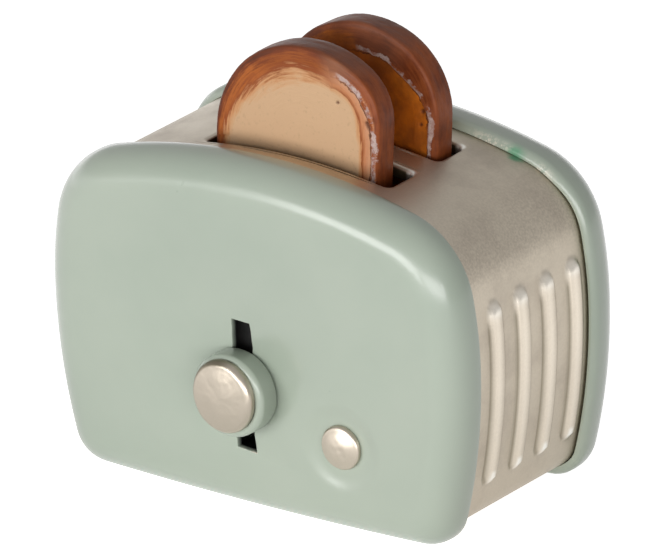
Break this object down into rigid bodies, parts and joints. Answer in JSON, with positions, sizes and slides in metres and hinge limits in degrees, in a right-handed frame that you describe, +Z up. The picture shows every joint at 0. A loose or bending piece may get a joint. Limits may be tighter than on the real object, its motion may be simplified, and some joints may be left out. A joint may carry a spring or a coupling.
{
  "type": "toy toaster",
  "caption": "Miniature two-slot toaster: enamelled dish shells on a ribbed plated band, lever knob, small dial and loose slices of toast.",
  "frame": {"origin": "middle of the pressed pad under the base plate, on the surface the toaster stands on, midway between the shells' outer faces", "axes": "+X to the right as seen from the lever side, +Y to the rear, +Z up; the lever and dial face -Y"},
  "size_m": [0.06, 0.0395, 0.0556],
  "materials": {
    "enamel": "gloss sage enamel",
    "nickel": "satin nickel plate",
    "zinc": "zinc-plated steel",
    "blackened": "blackened steel sheet",
    "brass": "turned brass",
    "fibre": "plain",
    "toast": "painted, satin varnish"
  },
  "bodies": {
    "case": {"front_shell": "enamel", "rear_shell": "enamel", "band": "nickel", "base_plate": "zinc", "base_rivets": "zinc", "tie_post_upper_left": "zinc", "tie_post_upper_right": "zinc", "tie_post_lower_left": "zinc", "tie_post_lower_right": "zinc", "post_screws": "zinc", "guide_rod_left": "zinc", "guide_rod_right": "zinc", "rod_bracket_left": "zinc", "rod_bracket_right": "zinc"},
    "lever_carriage": {"carriage_tray": "blackened", "tray_bush_left": "brass", "tray_bush_right": "brass", "slider_plate": "blackened", "slider_rivets": "zinc", "lever_stem": "zinc", "knob_cup": "enamel", "knob_cap": "nickel", "glide_washer": "fibre", "spring_washer": "zinc"},
    "dial": {"dial_stud": "nickel", "dial_washer": "zinc"},
    "toast_front": {"toast_front": "toast"},
    "toast_rear": {"toast_rear": "toast"}
  },
  "joints": [
    {"name": "lever_slide", "type": "slide", "parent": "case", "child": "lever_carriage", "axis": [0, 0, 1], "range_m": [-0.0064, 0.007]},
    {"name": "dial_turn", "type": "hinge", "parent": "case", "child": "dial", "pos_m": [0.0132, -0.01685, 0.0114], "axis": [0, -1, 0], "continuous": true},
    {"name": "toast_front_lift", "type": "slide", "parent": "lever_carriage", "child": "toast_front", "axis": [0, 0, 1], "range_m": [0, 0.02]},
    {"name": "toast_rear_lift", "type": "slide", "parent": "lever_carriage", "child": "toast_rear", "axis": [0, 0, 1], "range_m": [0, 0.02]}
  ]
}
